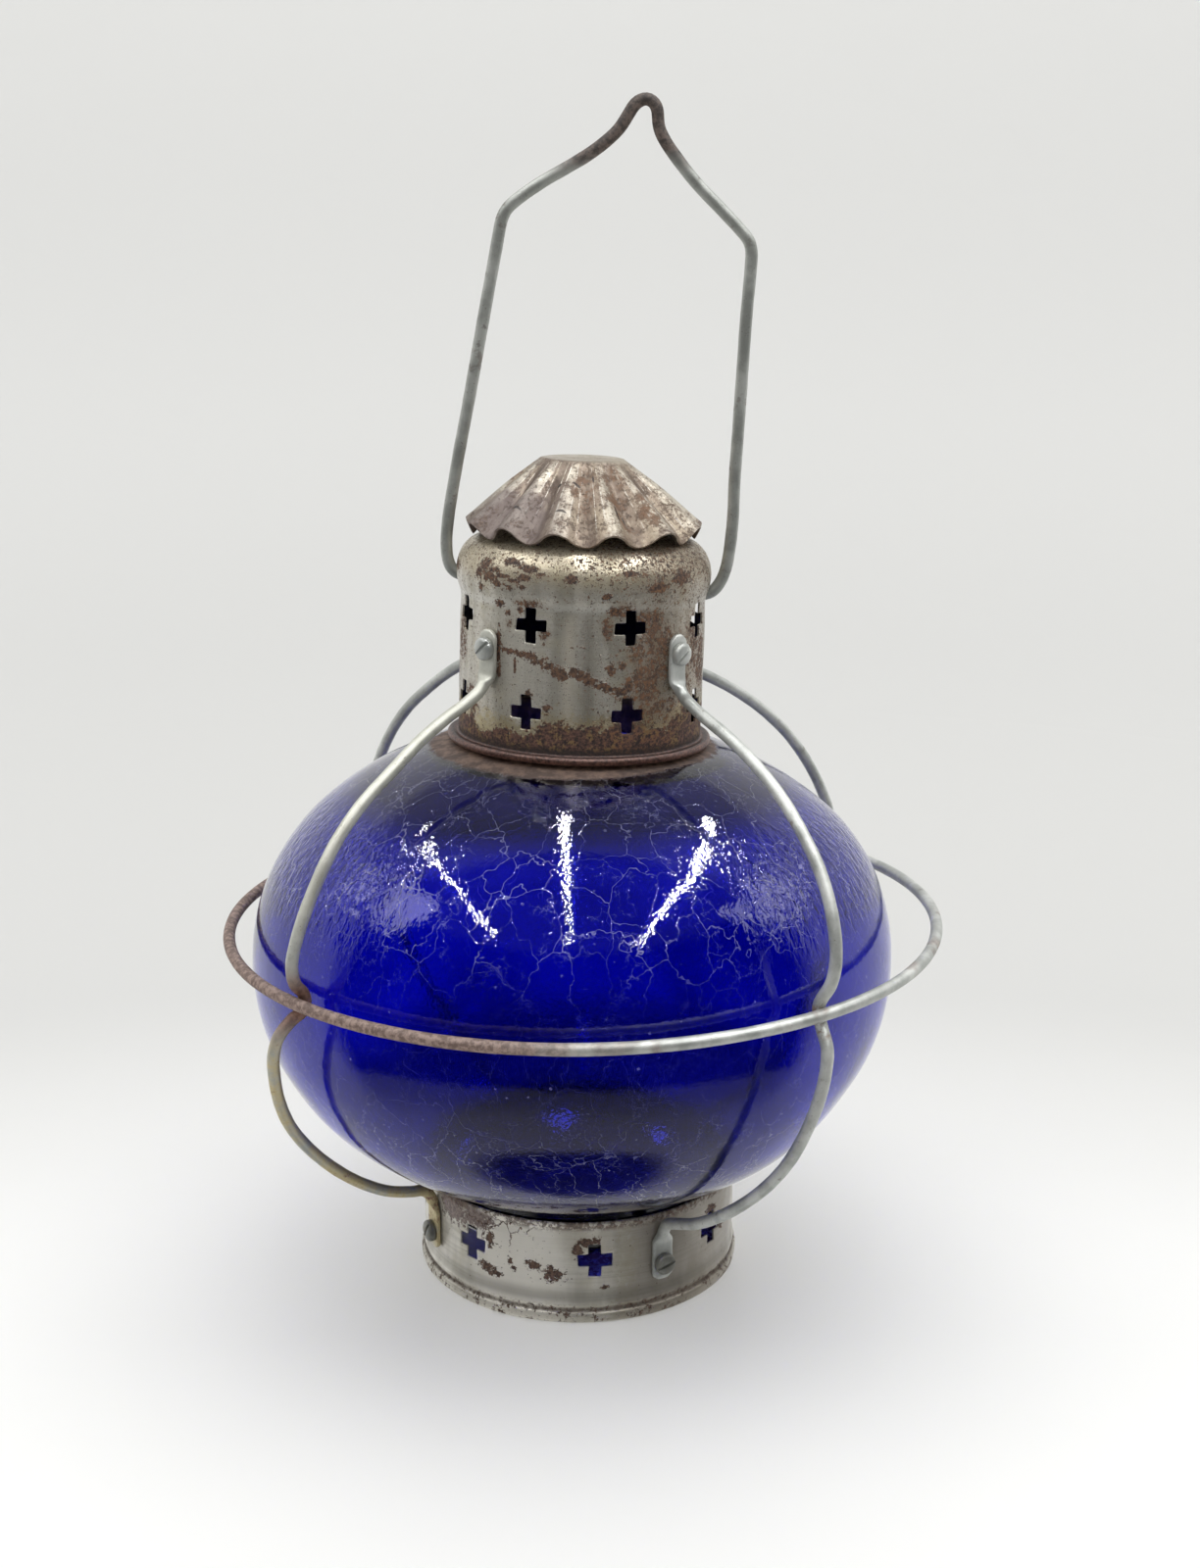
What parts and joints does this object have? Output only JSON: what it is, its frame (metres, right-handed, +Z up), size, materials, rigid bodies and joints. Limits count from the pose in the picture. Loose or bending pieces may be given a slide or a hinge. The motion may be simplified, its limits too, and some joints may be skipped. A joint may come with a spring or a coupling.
{
  "type": "onion lantern",
  "caption": "Onion lantern: squat blown-glass globe between a punched base ring and chimney, with wire ribs, guard ring, fluted vent cap, swinging bail and pull-out candle tray.",
  "frame": {"origin": "on the floor under the middle of the guard ring, which is the middle of the footprint of the whole lantern", "axes": "+Z up from the base to the bail; -Y is the side the picture looks at; +X is its right, along the bail's pivots"},
  "size_m": [0.2296, 0.2296, 0.3699],
  "materials": {
    "galvanised_base": "dull galvanised sheet, lightly rust-speckled",
    "rusted_chimney": "dull galvanised sheet, patchy brown rust",
    "fluted_cap": "worn tinned sheet with brown-mauve rust",
    "ring_wire": "rusted galvanised wire",
    "rib_wire": "galvanised wire, stained",
    "bail_wire": "galvanised wire, rusted at its peak",
    "upper_screws": "zinc plated",
    "lower_screws": "darkened zinc",
    "nuts": "dull zinc",
    "blue_glass": "deep cobalt blue crackle glass, glossy",
    "tinned_tray": "dull tinned sheet",
    "spring_steel": "grey spring steel",
    "rivet_steel": "dull zinc"
  },
  "bodies": {
    "lantern": {"base_ring": "galvanised_base", "glass_globe": "blue_glass", "chimney_shell": "rusted_chimney", "vent_cap": "fluted_cap", "guard_ring": "ring_wire", "guard_rib_front_left": "rib_wire", "guard_rib_front_right": "rib_wire", "guard_rib_rear_right": "rib_wire", "guard_rib_rear_left": "rib_wire", "upper_screw_front_left": "upper_screws", "upper_nut_front_left": "nuts", "lower_screw_front_left": "lower_screws", "lower_nut_front_left": "nuts", "upper_screw_front_right": "upper_screws", "upper_nut_front_right": "nuts", "lower_screw_front_right": "lower_screws", "lower_nut_front_right": "nuts", "upper_screw_rear_right": "upper_screws", "upper_nut_rear_right": "nuts", "lower_screw_rear_right": "lower_screws", "lower_nut_rear_right": "nuts", "upper_screw_rear_left": "upper_screws", "upper_nut_rear_left": "nuts", "lower_screw_rear_left": "lower_screws", "lower_nut_rear_left": "nuts"},
    "bail": {"bail_handle": "bail_wire"},
    "tray": {"candle_tray": "tinned_tray", "candle_cup": "tinned_tray", "cup_rivet": "rivet_steel", "spring_clip_rear": "spring_steel", "spring_clip_front": "spring_steel", "clip_rivet_rear": "rivet_steel", "clip_rivet_front": "rivet_steel"}
  },
  "joints": [
    {"name": "bail_hinge", "type": "hinge", "parent": "lantern", "child": "bail", "pos_m": [-0.00027, 0.00145, 0.22497], "axis": [0.9964, -0.0372, -0.0758], "range_deg": [-124, 121]},
    {"name": "candle_tray_slide", "type": "slide", "parent": "lantern", "child": "tray", "axis": [0, 0, -1], "range_m": [0, 0.045]}
  ]
}
